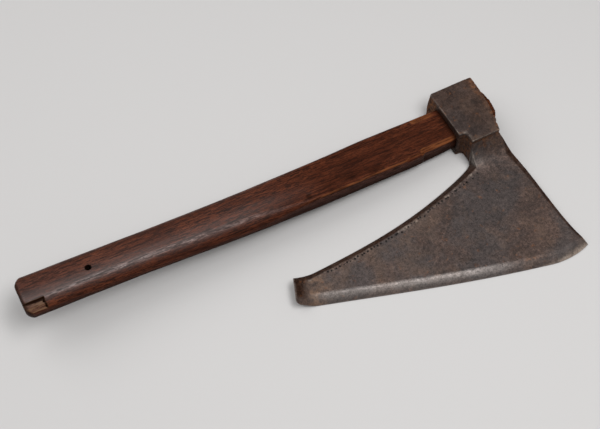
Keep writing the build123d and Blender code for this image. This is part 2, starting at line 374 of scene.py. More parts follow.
def fill_loop(loop, extra, spacing):
    """Triangles that fill a plan loop, through extra points and an even grid between."""
    low, high = loop.min(0), loop.max(0)
    columns = np.arange(low[0], high[0], spacing)
    rows = np.arange(low[1], high[1], spacing * GRID_ROW)
    gx, gy = np.meshgrid(columns, rows)
    gx = gx + (np.arange(len(rows)) % 2)[:, None] * spacing / 2
    grid = np.stack([gx.ravel(), gy.ravel()], 1)
    grid = grid[inside_loop(grid, loop)]
    ring = np.concatenate([loop, loop[:1]])
    clear = GRID_CLEARANCE * spacing
    grid = grid[distance(grid, ring) > clear]
    if len(extra):
        extra = extra[inside_loop(extra, loop)]
        extra = extra[distance(extra, ring) > EXTRA_CLEARANCE]
        chunks = np.array_split(grid, max(1, len(grid) // CHUNK))
        grid = np.concatenate([chunk[far_from(chunk, extra, clear)] for chunk in chunks])
    points = np.concatenate([loop, extra, grid])
    result = delaunay_2d_cdt([Vector(p) for p in points], [], [list(range(len(loop)))], 0, 1e-5, True)
    placed = np.array([tuple(v) for v in result[0]])
    # The triangulation fills the hull of the points, so what lies outside the loop goes.
    faces = np.array(result[2])
    faces = faces[inside_loop(placed[faces].mean(1), loop)]
    # Boundary points come back in a new order: find each one's new number.
    number = {}
    for new, olds in enumerate(result[3]):
        for old in olds:
            number.setdefault(old, new)
    return placed, faces.tolist(), [number[k] for k in range(len(loop))]


def far_from(points, others, clear):
    """Which plan points have no other one within clear, across or along."""
    return np.abs(points[:, None] - others[None]).max(2).min(1) > clear


def slab(top_loop, back_loop, extra):
    """Points and faces of a piece of blade, and how many of the points are its face's.

    The loops round its face and its back match point for point.
    """
    top, top_faces, top_rim = fill_loop(top_loop, extra, SPACING)
    back, back_faces, back_rim = fill_loop(back_loop, np.empty((0, 2)), BACK_SPACING)
    face_height = blade_top(top) - punched(top)
    points = np.concatenate([np.column_stack([top, face_height]), np.column_stack([back, lift(back)])])
    shift = len(top)
    faces = top_faces + [[shift + k for k in reversed(face)] for face in back_faces]
    count = len(top_loop)
    for k in range(count):
        after = (k + 1) % count
        faces.append([top_rim[k], top_rim[after], shift + back_rim[after], shift + back_rim[k]])
    return points, faces, shift


def weld_line(amount):
    """Where iron meets steel, a distance from the cutting edge and less at the toe."""
    share = np.interp(lengths_along(EDGE), [0, 60], [0.5, 1.0])
    line = offset(EDGE, amount * share, 1)
    start = TOE_START + TOE_ALONG * ((line[0] - TOE_START) @ TOE_ALONG)
    line = line[:np.argmin(distance(line, HEEL))]
    end = HEEL[nearest_index(HEEL, line[-1])]
    line = line[(line - TOE_START) @ TOE_INWARD > 1.0]
    return np.concatenate([[start], line, [end]])


def nearest_index(line, point):
    return int(np.argmin(np.linalg.norm(line - point, axis=1)))


def share_along(line, point):
    s = lengths_along(line)
    return s[nearest_index(line, point)] / s[-1]


def iron_loop(weld):
    """Outline of the iron: hollow, weld to the socket, heel side, weld to the steel, toe."""
    heel_share = share_along(HEEL, weld[-1])
    return np.concatenate([
        spaced(HOLLOW, 250),
        spaced([HOLLOW[-1], HEEL[0]], 34)[1:],
        spaced(HEEL, 120, 0, heel_share)[1:],
        spaced(weld[::-1], WELD_POINTS)[1:],
        spaced([weld[0], TOE_START], TOE_POINTS)[1:-1],
    ])


def steel_loop(weld):
    """Outline of the steel: weld, heel side, cutting edge, toe with its worn corner."""
    heel_share = share_along(HEEL, weld[-1])
    toe_corner = corner_arc()
    edge_share = share_along(EDGE, toe_corner[-1])
    return np.concatenate([
        spaced(weld, WELD_POINTS),
        spaced(HEEL, 24, heel_share, 1)[1:],
        spaced(EDGE[::-1], 320, 0, 1 - edge_share)[1:],
        toe_corner[::-1][1:],
        spaced([toe_corner[0], weld[0]], TOE_POINTS)[1:-1],
    ])


def corner_arc():
    """The toe's worn corner in plan, from the toe's end round to the cutting edge."""
    corner, after = EDGE[0], EDGE[6]
    start = corner - TOE_ALONG * TOE_CORNER
    end = corner + (after - corner) / np.linalg.norm(after - corner) * TOE_CORNER
    t = np.linspace(0, 1, 10)[:, None]
    return (1 - t) ** 2 * start + 2 * (1 - t) * t * corner + t ** 2 * end


def rows_beside(line, side, rows):
    """Rows of points just inside a side of the blade, to shape its rim."""
    return np.concatenate([offset(line, row, side) for row in rows])


PUNCH_DEPTH = 0.7
PUNCH_COUNT = 46
PUNCH_RADII = RNG.uniform(0.85, 1.3, PUNCH_COUNT)
PUNCH_RINGS = (0.45, 0.9, 1.3, 1.65)
PUNCH_REACH = 1.7
PUNCH_GAP = 2.1             # from the chamfer to the middle of the row


def punch_places():
    """Centres of the row of punch marks, just inside the hollow chamfer."""
    places = spaced(HOLLOW, PUNCH_COUNT, 0.15, 0.925) + RNG.normal(0, 0.45, (PUNCH_COUNT, 2))
    return offset(places, skirt_width(places) + PUNCH_GAP + RNG.normal(0, 0.25, PUNCH_COUNT), -1)


PUNCHES = punch_places()


def punch_rings():
    """Rings of points round each punch mark, so that it comes out round."""
    turn = np.linspace(0, 2 * np.pi, 8, endpoint=False)
    circle = np.stack([np.cos(turn), np.sin(turn)], 1)
    return np.concatenate([PUNCHES] + [(PUNCHES[:, None] + circle * r).reshape(-1, 2) for r in PUNCH_RINGS])


def punched(xy):
    """Depth of the row of punch marks that follows the hollow chamfer."""
    depth = np.zeros(len(xy))
    for centre, radius in zip(PUNCHES, PUNCH_RADII):
        near = np.abs(xy - centre).max(1) < PUNCH_REACH
        gap = np.linalg.norm(xy[near] - centre, axis=1)
        depth[near] += PUNCH_DEPTH * fade(radius + 0.2, radius - 0.4, gap)
    return depth


def heel_chamfer_width(y):
    """Width of the chamfer down the heel side, from the neck to the cutting edge."""
    return np.interp(-y, [43, 55, 89, 125, 187], [0.0, 7.5, 5.2, 3.8, 2.8])


def blade_paint(mesh, shift):
    """Wear, polish, grime, dry scale and rust over a piece of the blade, with painted highlights and painted
    shade among them.
    """
    p = head_points(mesh)
    x, y, xy = p[:, 0], p[:, 1], p[:, :2]
    hollow, edge, heel, toe = side_distances(xy)
    patchy = fade(-0.25, 0.45, fractal(p, 9, 31))
    specks = fade(0.05, 0.6, fractal(p, 3.2, 32))
    wall = neck_wall_x(y)
    by_neck = y > STOP_Y - 1
    heel_end = fade(0, 50, x)
    heel_width = heel_chamfer_width(y)
    past_chamfer = hollow - skirt_width(xy)
    past_heel = heel - heel_width
    beside_row = peak(past_chamfer, 1.6, 1.8)
    # bright where hands, whetstone and sheath have rubbed, and painted highlights on the toe's rim, the
    # upper bevel and the neck below the step
    neck_wear = 0.6 * by_neck * fade(STEP_Y - 1, STEP_Y - 6, y) * peak(x, wall + 0.4, 0.6)
    # painted highlight along the toe's rim, where it catches the light
    toe_wear = 0.55 * peak(toe, 0, 0.7) * (0.4 + 0.6 * specks)
    by_edge = peak(edge, 0, 0.5 + 3.2 * heel_end)
    edge_wear = by_edge * (0.12 + heel_end * (0.4 + 0.6 * specks))
    heel_tip = 0.45 * peak(np.hypot(x - 66, y + 186), 2, 5) * (0.3 + 0.7 * specks)
    row_wear = 0.42 * beside_row * specks * fade(10, 4, x)
    # ground bevel, lighter towards its top as a painted highlight
    on_bevel = fade(BEVEL_WIDTH + 0.5, BEVEL_WIDTH - 2.5, edge) * (0.3 + 0.7 * fade(1.5, 7.0, edge))
    polish = on_bevel * fade(-236, -205, x) * (1 - 0.85 * fade(-60, 5, x))
    # painted highlight where the neck's face slopes towards the light
    neck_polish = 0.45 * peak(x, 12, 8) * peak(y, -51, 8) * (y < STEP_Y - 3)
    # dark chamfers and neck side, and painted shade on the curled toe and on the steep neck under the step
    chamfer = fade(0.4, -0.5, past_chamfer) * (y < STOP_Y + 0.4)
    neck_side = by_neck & (x < wall - 0.2)
    heel_side = fade(1.2, -0.4, past_heel) * (heel_width > 0.2) * (0.8 + 0.2 * patchy)
    # painted shade: the curled toe faces away from the light
    curl_shade = fade(0.3, 0.75, toe_share(xy)) * fade(1.0, 2.2, toe) * fade(3, 9, edge)
    # painted shade under the socket's step, where the neck falls steeply
    step_shade = 0.25 * fade(STEP_Y - 5, STEP_Y - 1, y)
    # dry tan scale by the toe, beside the chamfers and along the heel's edge
    toe_tan = peak(toe, 21, 11) * (0.35 + 0.65 * patchy) * fade(0, 2, past_chamfer)
    heel_tan = 0.8 * peak(past_heel, 2, 2.5) * fade(-85, -45, y) * specks
    # rust by the step, on the bevel, down the heel side and in one orange speck
    step_rust = 0.5 * fade(STEP_Y - 8, STEP_Y - 1, y) * patchy
    speck = np.hypot(x - RUST_SPECK[0], y - RUST_SPECK[1]) + fractal(p, 2, 33)
    bevel_rust = 0.8 * peak(edge, 9, 1.5) * peak(x, 5, 18) * (0.3 + 0.7 * specks)
    heel_rust = 0.6 * fade(1.5, 0.3, heel) * specks
    face = {
        "wear": most(neck_wear, toe_wear, edge_wear, heel_tip, row_wear),
        "polish": most(polish, neck_polish),
        "grime": most(chamfer, neck_side, heel_side, curl_shade, step_shade),
        "pit": fade(0.1, 0.6, punched(xy) / PUNCH_DEPTH),
        "tan": most(toe_tan, 0.5 * beside_row * specks, heel_tan, 0.9 * by_edge * heel_end),
        "rust": most(step_rust, fade(3.0, 1.0, speck), bevel_rust, heel_rust),
    }
    back = {"polish": 0.25, "grime": 0.35, "rust": 0.1}
    on_face = np.arange(len(p)) < shift
    paint(mesh, **{name: np.where(on_face, face[name], back.get(name, 0)) for name in face})


def make_blade(iron, steel):
    top_weld, back_weld = weld_line(STEEL_TOP), weld_line(STEEL_BACK)
    wall_y = np.linspace(STEP_Y - 0.3, STOP_Y, 22)
    wall_top = np.stack([neck_wall_x(wall_y), wall_y], 1)
    wall_foot = wall_top - [NECK_WALL_RUN, 0]
    heel_rim = rows_beside(HEEL, -1, RIM_ROWS)
    chamfer_line = offset(spaced(HOLLOW, 260, 0, 0.9), CHAMFER_WIDTH, -1)
    hollow_rim = rows_beside(HOLLOW, -1, RIM_ROWS)
    iron_extra = [hollow_rim, heel_rim, wall_top, wall_foot, chamfer_line, punch_rings()]
    bevel_line = offset(spaced(EDGE, 300, 0.02, 0.99), BEVEL_WIDTH, 1)
    steel_extra = [bevel_line, rows_beside(spaced(EDGE, 400), 1, EDGE_ROWS), heel_rim]
    for name, node, slot_name, material, loop, extra in (
        ("blade_iron", "blade", "forged_iron", iron, iron_loop, iron_extra),
        ("edge_steel", "cutting_steel", "edge_steel", steel, steel_loop, steel_extra),
    ):
        points, faces, shift = slab(loop(top_weld), loop(back_weld), np.concatenate(extra))
        mesh = new_mesh(name, points, faces)
        finish_piece(name, mesh, node, material)
        blade_paint(mesh, shift)


# ---- reworked copies of CAD meshes
def cad_copy(node):
    """A new object with a copy of a CAD node's mesh, closed by merging its doubled corners."""
    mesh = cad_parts[node].data.copy()
    bm = bmesh.new()
    bm.from_mesh(mesh)
    bmesh.ops.remove_doubles(bm, verts=bm.verts, dist=1e-6)
    bm.to_mesh(mesh)
    bm.free()
    return new_object(node + "_copy", mesh)


def mesh_as_modified(thing):
    return bpy.data.meshes.new_from_object(thing.evaluated_get(bpy.context.evaluated_depsgraph_get()))


def remeshed(node, voxel):
    """An even, closed mesh over a copy of a CAD node's own mesh."""
    holder = cad_copy(node)
    modifier = holder.modifiers.new("even", "REMESH")
    modifier.mode = "VOXEL"
    modifier.voxel_size = voxel * MM
    even = mesh_as_modified(holder)
    bpy.data.objects.remove(holder)
    return even


def edge_pairs(mesh):
    return rows_of(mesh.edges, "vertices", 2, np.int64)


def neighbour_mean(values, pairs):
    """The mean of each vertex's neighbours."""
    total = np.zeros_like(values)
    count = np.zeros(len(values))
    for a, b in ((0, 1), (1, 0)):
        np.add.at(total, pairs[:, a], values[pairs[:, b]])
        np.add.at(count, pairs[:, a], 1)
    return total / (count[:, None] if values.ndim == 2 else count)


def relaxed(points, pairs, rounds):
    """Points moved towards their neighbours' mean, a few times over."""
    for _ in range(rounds):
        points = points + 0.5 * (neighbour_mean(points, pairs) - points)
    return points


def convexity(points, normals, pairs, rounds=3):
    """Positive on arrises, negative in inside corners, in mm."""
    bend = ((points - neighbour_mean(points, pairs)) * normals).sum(1)
    for _ in range(rounds):
        bend = neighbour_mean(bend, pairs)
    return bend


# ---- eye socket
EXIT_X = 50.5


def make_socket(iron):
    mesh = remeshed("eye_socket", 0.55)
    mesh.update()
    pairs = edge_pairs(mesh)
    points = head_points(mesh)
    sharpness = convexity(points, normals_of(mesh), pairs)
    held = fade(-34.5, -37.0, points[:, 1])[:, None] * 0.75
    points = relaxed(points, pairs, 5) * (1 - held) + points * held
    set_head_points(mesh, points)
    normals = normals_of(mesh)
    x, y, z = points.T
    arris = fade(0.02, 0.09, sharpness)
    rough = 0.28 * fractal(points, 16, 41) + 0.13 * fractal(points, 4.5, 42)
    rough = rough + 0.05 * fractal(points, 1.6, 43, 2)
    rough = rough - arris * 0.5 * fade(-0.2, 0.7, fractal(points, 6, 44))
    rough = rough * (1 - 0.8 * fade(-35, -37.5, y))
    # The exit side has rusted away along its top arris.
    exit_side = fade(EXIT_X - 7, EXIT_X - 2, x + 0.0035 * y ** 2) * fade(20, 34, z)
    rough = rough - exit_side * 0.9 * fade(0.0, 0.6, fractal(points, 3.5, 45))
    inside = (y > -21) & (y < 25) & (z > 5) & (z < 31)
    rough = np.where(inside & (np.abs(normals[:, 0]) < 0.6), 0.0, rough)
    points = points + normals * rough[:, None]
    # The poll's entry corner bulges towards the grip, most near its foot.
    points[:, 0] -= 1.8 * fade(26, 38, y) * fade(8, -2, x) * fade(40, 22, z)
    set_head_points(mesh, points)
    finish_piece("socket_iron", mesh, "eye_socket", iron, 60)

    entry = fade(3, 0.5, x + fade(-24, 38, y))
    top = fade(37.5, 39.3, z)
    step = fade(-35.5, -37.6, y)
    corner = fade(0.0, -0.05, sharpness)
    low_side = fade(38.5, 35, z) * fade(-23, -25, y)
    patchy = fade(-0.4, 0.5, fractal(points, 5, 46, 4))
    broken = fade(-0.25, 0.4, fractal(points, 3, 47))
    # worn arrises, and a painted highlight on the entry and step arrises where they catch the light
    arris_wear = arris * (0.12 + top * most(0.65 * entry, step) * (0.25 + 0.75 * broken))
    top_wear = 0.35 * top * fade(-20, -26, y) * fade(13, 4, x) * broken
    poll_rust = 0.8 * entry * fade(20, 24, y) * (z < 38.5)
    paint(
        mesh,
        wear=most(arris_wear, top_wear),
        rust=most(poll_rust, 0.8 * corner, 0.8 * exit_side * (0.35 + 0.65 * patchy),
                  low_side * (0.25 + 0.5 * patchy)),
        # painted shade with grime on the entry face and low on the near wall; darker in inside corners and
        # over the top
        grime=most(0.85 * entry * (z < 37.5), 0.7 * low_side, 0.8 * fade(0.0, -0.06, sharpness),
                   top * (0.46 + 0.14 * patchy)),
        polish=top * 0.1 * patchy,
        pit=0,
        tan=most(top, step * 0.5) * fade(-28, -37, y) * patchy * 0.6,
    )


# ---- haft
BUTT_X = -HAFT_LENGTH
HAFT_END_X = 59.0           # where the haft's rounded end stands out most
END_RADIUS = 65.0
END_Y = 6.0
HAFT_RISE = 34.0
HAFT_RISE_POWER = 1.25
EYE_CENTRE_Z = 18.0
BUTT_ROUND = 5.0
END_BEVEL = 0.9
# (X, reach towards the blade, reach towards the poll, thickness, the corner radii:
# top by the blade, top by the poll, both bottom ones, and how far the top is crowned).
HAFT_SECTIONS = [
    (-495, 20.3, 21.8, 27.0, 13.5, 9.0, 10.0, 1.0),
    (-440, 20.2, 22.2, 27.5, 14.0, 10.5, 11.0, 1.2),
    (-380, 20.9, 21.8, 27.2, 14.5, 10.5, 11.5, 1.2),
    (-340, 22.2, 21.6, 27.0, 14.5, 10.5, 12.0, 1.2),
    (-290, 24.0, 21.6, 26.8, 14.5, 10.5, 12.0, 1.2),
    (-240, 24.8, 22.0, 26.5, 13.0, 10.0, 11.0, 1.1),
    (-205, 24.6, 22.2, 26.2, 6.0, 9.0, 10.0, 0.8),
    (-175, 24.6, 22.4, 26.0, 2.4, 8.0, 9.0, 0.5),
    (-130, 24.2, 23.5, 25.5, 2.0, 7.5, 8.0, 0.5),
    (-97, 23.6, 25.0, 25.0, 2.0, 7.0, 7.5, 0.5),
    (-62, 23.3, 24.2, 24.6, 2.2, 5.5, 6.5, 0.4),
    (-42, 22.6, 24.0, 24.4, 2.4, 5.0, 6.0, 0.2),
    (0, 19.9, 23.9, 23.8, 5.0, 5.0, 6.0, 0.0),
    (80, 19.9, 23.9, 23.8, 6.0, 6.0, 6.0, 0.0),
]
ARC_POINTS = 18
SIDE_POINTS = (50, 26, 26, 20)      # top, side by the blade, bottom, side by the poll
RING_SPACING = 1.5
CAP_SHARES = (0.93, 0.8, 0.65, 0.5, 0.35, 0.2, 0.08)


def haft_values(x):
    """The section table at each X, smoothed between its rows but not in the eye."""
    table = np.array(HAFT_SECTIONS)
    fine = np.arange(-560, 100, 1.0)
    window = peak(np.arange(-40, 41), 0, 13.0)
    window /= window.sum()
    eye = fade(-30, -4, fine)
    columns = []
    for column in table[:, 1:].T:
        raw = np.interp(fine, table[:, 0], column)
        soft = np.convolve(np.pad(raw, 40, "edge"), window, "valid")
        columns.append(np.interp(x, fine, soft * (1 - eye) + raw * eye))
    return columns


def haft_centre(x):
    """Z of the haft's axis, which rises towards the butt."""
    return EYE_CENTRE_Z + HAFT_RISE * (np.maximum(0, -x) / HAFT_LENGTH) ** HAFT_RISE_POWER


def haft_ring(near, far, thick, near_top, far_top, bottom, crown):
    """Points round one section, from the poll side's top corner, relative to its axis."""
    half = thick / 2
    corners = [
        (far, half, far_top, 0.0), (-near, half, near_top, 90.0),
        (-near, -half, bottom, 180.0), (far, -half, bottom, 270.0),
    ]
    arcs = []
    for y, z, radius, start in corners:
        turn = np.radians(start + np.linspace(0, 90, ARC_POINTS))
        middle = np.array([y - math.copysign(radius, y), z - math.copysign(radius, z)])
        arcs.append(middle + radius * np.stack([np.cos(turn), np.sin(turn)], 1))
    ring = []
    for k, count in enumerate(SIDE_POINTS):
        ring.append(arcs[k])
        t = np.linspace(0, 1, count + 2)[1:-1, None]
        ring.append(arcs[k][-1] + t * (arcs[(k + 1) % 4][0] - arcs[k][-1]))
    ring = np.concatenate(ring)
    share = (ring[:, 0] - (far - near) / 2) / (near + far) * 2
    ring[:, 1] += crown * (0.35 - share ** 2) * fade(0, half, ring[:, 1])
    return ring


def shave(points, start, end, ramps, y, z, tilt):
    """Takes off what stands outside a lengthwise plane, from X start to end.

    The plane passes (y, z) from the haft's axis, and faces tilt degrees round from +Y.
    """
    x = points[:, 0]
    normal = np.array([0, math.cos(math.radians(tilt)), math.sin(math.radians(tilt))])
    above = (points[:, 1] - y) * normal[1] + (points[:, 2] - haft_centre(x) - z) * normal[2]
    inside = fade(start, start + ramps[0], x) * fade(end, end - ramps[1], x)
    cut = np.maximum(0, above) * inside
    points -= cut[:, None] * normal
    return cut


def haft_mesh():
    """The whole haft as rings along X, with a cap at each end."""
    round_start = BUTT_X + BUTT_ROUND
    stations = np.concatenate([
        BUTT_X + BUTT_ROUND * (1 - np.cos(np.radians(np.linspace(8, 90, 10)))),
        np.arange(round_start + RING_SPACING, HAFT_END_X - 1.2, RING_SPACING),
        [HAFT_END_X - 0.8, HAFT_END_X - 0.25, HAFT_END_X],
    ])
    values = haft_values(stations)
    rings = []
    for k, x in enumerate(stations):
        near, far, thick = (column[k] for column in values[:3])
        inset = 0.0
        if x < round_start:
            inset = BUTT_ROUND * (1 - math.sqrt(1 - ((round_start - x) / BUTT_ROUND) ** 2))
        if x > HAFT_END_X - END_BEVEL:
            inset = ((x - HAFT_END_X + END_BEVEL) / END_BEVEL) ** 2
        middle = np.array([(far - near) / 2, 0])
        ring = haft_ring(*(column[k] for column in values))
        rings.append((x, middle + (ring - middle) * (1 - inset / (thick / 2)), middle))
    rings = cap_rings(*rings[0])[::-1] + rings + cap_rings(*rings[-1])
    count = len(rings[0][1])
    points = np.concatenate([
        np.column_stack([np.full(count, x), ring + [0, haft_centre(x)]]) for x, ring, _ in rings
    ])
    x, y = points[:, 0], points[:, 1]
    points[:, 0] += butt_set_back(y) * fade(BUTT_X + 16, BUTT_X, x)
    points[:, 0] -= (HAFT_END_X - haft_end(y)) * fade(46, HAFT_END_X, x)
    faces = []
    for k in range(len(rings) - 1):
        for j in range(count):
            a, b = k * count + j, k * count + (j + 1) % count
            faces.append((a, b, b + count, a + count))
    tip = len(points)
    base = tip - count
    for j in range(count):
        after = (j + 1) % count
        faces.append((tip, after, j))
        faces.append((tip + 1, base + j, base + after))
    return np.concatenate([points, (points[:count].mean(0), points[-count:].mean(0))]), faces


def cap_rings(x, ring, middle):
    """Ever smaller rings that close an end."""
    return [(x, middle + (ring - middle) * share, middle) for share in CAP_SHARES]


def butt_set_back(y):
    """How far the butt's end is worn back towards its two corners."""
    return 0.045 * np.maximum(0, np.abs(y) - 11) ** 2


def haft_end(y):
    """X of the haft's rounded end."""
    worn = 3.0 * fade(-8, -20, y)
    return HAFT_END_X - worn - END_RADIUS + np.sqrt(END_RADIUS ** 2 - (y - END_Y) ** 2)


def carve_haft(points):
    """A chip and worn bevels by the head; returns how much was lost to each."""
    chip = shave(points, -66, -40, (7, 2), -19.2, 12.0, 136)
    shave(points, -43, 4, (2.5, 1), -20.4, 0, 180)
    worn = shave(points, -47, 2, (7, 1), -15.4, 12.2, 131)
    far = shave(points, -38, -6, (5, 4), 15.5, 12.0, 72)
    return {"chip": chip, "worn_off": most(worn, far)}


def roughen_haft(points, lost):
    """Raises the grain, sinks the dent and breaks up the chip and both ends."""
    x, y, z = points.T
    outward = np.column_stack([x * 0, y - 1.5, z - haft_centre(x)])
    outward /= np.maximum(np.linalg.norm(outward, axis=1), 1e-6)[:, None]
    end_x = haft_end(y)
    sides = (x >= BUTT_X + 1.0) & (x <= end_x - 4)
    dent = fade(4.5, 1.5, from_dent(x, y) + 1.2 * fractal(points, 4, 66)) * (z > haft_centre(x))
    broken = most(fade(0.1, 0.8, lost["chip"]), fade(0.1, 0.8, lost["worn_off"]) * 0.4)
    grain = 0.13 * fractal(points, (26, 1.3, 1.3), 61) + 0.30 * fractal(points, (60, 9, 9), 62)
    grain = grain + broken * 0.5 * fractal(points, (9, 1.6, 1.6), 63) - 0.6 * dent
    points += outward * (grain * fade(0, -3, x) * sides)[:, None]
    rough_end = (x > end_x - 3) * 0.45 * fractal(points, (50, 1.6, 1.6), 64)
    rough_butt = (x < BUTT_X + 0.6) * 0.25 * fractal(points, (50, 1.5, 1.5), 65)
    points[:, 0] += rough_end + rough_butt


def from_dent(x, y):
    return np.hypot(x - DENT[0], y - DENT[1])


def solid(name, points, faces):
    return new_object(name, new_mesh(name, points, faces))


def rough_box(low, high, steps, size, amount, seed):
    """A closed box whose sides are broken up by noise."""
    bm = bmesh.new()
    bmesh.ops.create_cube(bm, size=1)
    bmesh.ops.subdivide_edges(bm, edges=bm.edges, cuts=steps, use_grid_fill=True)
    bmesh.ops.recalc_face_normals(bm, faces=bm.faces)
    points = np.array([tuple(v.co) for v in bm.verts]) + 0.5
    faces = [[v.index for v in f.verts] for f in bm.faces]
    bm.free()
    points = low + points * np.subtract(high, low)
    shift = np.stack([fractal(points, size, seed + k) * amount[k] for k in range(3)], 1)
    return points + shift, faces


def upright_cylinder(x, y, radius, low, high, sides):
    turn = np.linspace(0, 2 * np.pi, sides, endpoint=False)
    circle = np.stack([np.cos(turn), np.sin(turn)], 1) * radius + [x, y]
    ends = [np.column_stack([circle, np.full(sides, z)]) for z in (low, high)]
    faces = [(j, (j + 1) % sides, (j + 1) % sides + sides, j + sides) for j in range(sides)]
    faces += [tuple(range(sides))[::-1], tuple(range(sides, 2 * sides))]
    return np.concatenate(ends), faces


def cut_from(piece, cutters):
    """The mesh that's left of a piece, which goes, as do the cutters."""
    for holder in cutters:
        modifier = piece.modifiers.new("cut", "BOOLEAN")
        modifier.operation = "DIFFERENCE"
        modifier.solver = "MANIFOLD"
        modifier.object = holder
    mesh = mesh_as_modified(piece)
    for holder in (*cutters, piece):
        bpy.data.objects.remove(holder)
    return mesh


SPLIT_X = -473.0
SPLIT_Y = -11.2
SPLIT_FLOOR = 59.7
SPLIT_TOP = 75.0
SPLIT_FALL = 0.57           # the floor's fall away from the wall
SPLIT_TILT = 0.1            # and along the haft
SPLIT_MIDDLE_X = -484.0
RIDGE_Y = -11.0             # a broken crack runs along the grip's ridge
HOLE_X = -422.0
HOLE_RADIUS = 3.25
DENT = (-182.0, -18.0)


def split_box():
    """What the butt's split corner has lost: a box with broken sides and a sloping floor."""
    low, high = (BUTT_X - 8, -34, SPLIT_FLOOR), (SPLIT_X, SPLIT_Y, SPLIT_TOP)
    points, faces = rough_box(low, high, 36, (12, 1.6, 1.6), (1.5, 0.6, 0.0), 71)
    x, y, z = points.T
    down = (SPLIT_TOP - z) / (SPLIT_TOP - SPLIT_FLOOR)
    points[:, 2] += SPLIT_FALL * (y - SPLIT_Y) * down
    points[:, 2] += (0.8 * fractal(points, (16, 1.8, 3), 74) - SPLIT_TILT * (x - SPLIT_MIDDLE_X)) * down
    return points, faces


def make_haft(wood):
    points, faces = haft_mesh()
    lost = carve_haft(points)
    roughen_haft(points, lost)
    rough = solid("rough_haft", points, faces)
    for key, values in lost.items():
        store(rough.data, key, values)
    cutters = [
        solid("split", *split_box()),
        solid("hole", *upright_cylinder(HOLE_X, 0, HOLE_RADIUS, 20, 80, 32)),
        solid("nail", *upright_cylinder(SPLIT_X - 1.6, -13.2, 1.2, 46, 64, 16)),
        solid("nail", *upright_cylinder(SPLIT_X - 0.9, -17.6, 1.3, 43, 60, 16)),
        cad_copy("wooden_wedge"),
        cad_copy("iron_cross_wedge"),
    ]
    mesh = cut_from(rough, cutters)
    finish_piece("haft_wood", mesh, "haft", wood, 40)
    # The cuts gave the mesh new vertices, so what was lost is read back from it.
    haft_paint(mesh, {key: rows_of(mesh.attributes[key].data, "value", 1)[:, 0] for key in lost})


def haft_paint(mesh, lost):
    """Raw and orange wood, grime, painted shade and the hand's sheen over the haft."""
    p = head_points(mesh)
    x, y, z = p.T
    above = z - haft_centre(x)
    past_end = x - haft_end(y)
    near, _, thick = haft_values(x)[:3]
    skin = np.minimum(y + near, thick / 2 - above)
    floor = SPLIT_FLOOR + SPLIT_FALL * (y - SPLIT_Y) - SPLIT_TILT * (x - SPLIT_MIDDLE_X)
    in_split = (x < SPLIT_X + 0.9) & (y < SPLIT_Y + 0.6) & (z > floor - 1.2) & (skin > 0.45)
    # orange wood in the chip, on the worn bevels and the near arris, and round the far end
    chip = fade(0.3, 1.2, lost["chip"]) * fade(-0.3, 0.2, fractal(p, (8, 2, 2), 68))
    arris = fade(1.9, 0.7, np.hypot(y + near - 0.4, above - thick / 2 + 0.4))
    arris = 0.85 * arris * fade(-225, -195, x) * fade(-44, -50, x)
    # painted shade by the eye's entry, on the split's walls, in the hole, low on the sides and on the butt's
    # rim; darker in the dent, at the haft's far end and in patches
    # painted shade where the haft goes into the eye
    entry = 0.7 * fade(-7, -0.5, x) * fade(3, -0.5, x)
    # painted shade on the split's walls, while its floor stays raw wood
    split_wall_shade = 0.85 * (in_split & (y > SPLIT_Y - 1.1))
    split_stop_shade = 0.7 * (in_split & (x > SPLIT_X - 1.5))
    # painted shade inside the hole
    hole = 0.95 * (np.hypot(x - HOLE_X, y) < HOLE_RADIUS + 0.05)
    dent = 0.6 * fade(4.5, 2.0, from_dent(x, y)) * (skin > -1)
    # painted shade, darker towards the bottom of the sides
    low = 0.8 * fade(np.interp(x, [-270, -180], [4.0, 10.0]), -8.0, above)
    # painted shade that dulls the light on the butt's rounded rim
    butt_shade = 0.65 * fade(BUTT_X + 4.0, BUTT_X + 1.5, x - butt_set_back(y))
    end = 0.65 * fade(-8, -4, past_end) * fade(-0.3, 0.3, fractal(p, 3, 69))
    smoky = 0.5 * fade(-0.1, 0.5, fractal(p, (26, 7, 7), 67)) * fade(-215, -190, x)
    smoky = smoky * fade(-6, -17, y)
    palm = 0.25 + 0.75 * peak(y, RIDGE_Y + 3, 8)
    paint(
        mesh,
        raw=1.0 * in_split,
        orange=most(chip, fade(0.15, 0.7, lost["worn_off"]), arris, 0.45 * fade(-6, -3, past_end)),
        grime=most(entry, split_wall_shade, split_stop_shade, hole, dent, low, butt_shade, end, smoky),
        sheen=palm * fade(-150, -270, x) * fade(0.35, 0.8, normals_of(mesh)[:, 2]),
    )
    paint_places(mesh, "grain", np.column_stack([x, y, above]))


# ---- wedges
WEDGE_GAP = 0.03            # so that a wedge's sides don't share the kerf's


def make_wedge(name, node, material, voxel, roughness, seed):
    mesh = remeshed(node, voxel)
    points = relaxed(head_points(mesh), edge_pairs(mesh), 2)
    set_head_points(mesh, points)
    proud = fade(HAFT_END_X - 9, HAFT_END_X - 5, points[:, 0])
    shift = roughness * fractal(points, (12, 1.5, 1.5), seed) * proud
    points = points + normals_of(mesh) * (shift - WEDGE_GAP)[:, None]
    set_head_points(mesh, points)
    finish_piece(name, mesh, node, material, 50)
    grime = 0.3 + 0.3 * fractal(points, 5, seed + 1)
    paint(mesh, wear=0, rust=0.9, raw=0, orange=0.25, polish=0, sheen=0, tan=0, grime=grime, pit=0)
    paint_places(mesh, "grain", points)


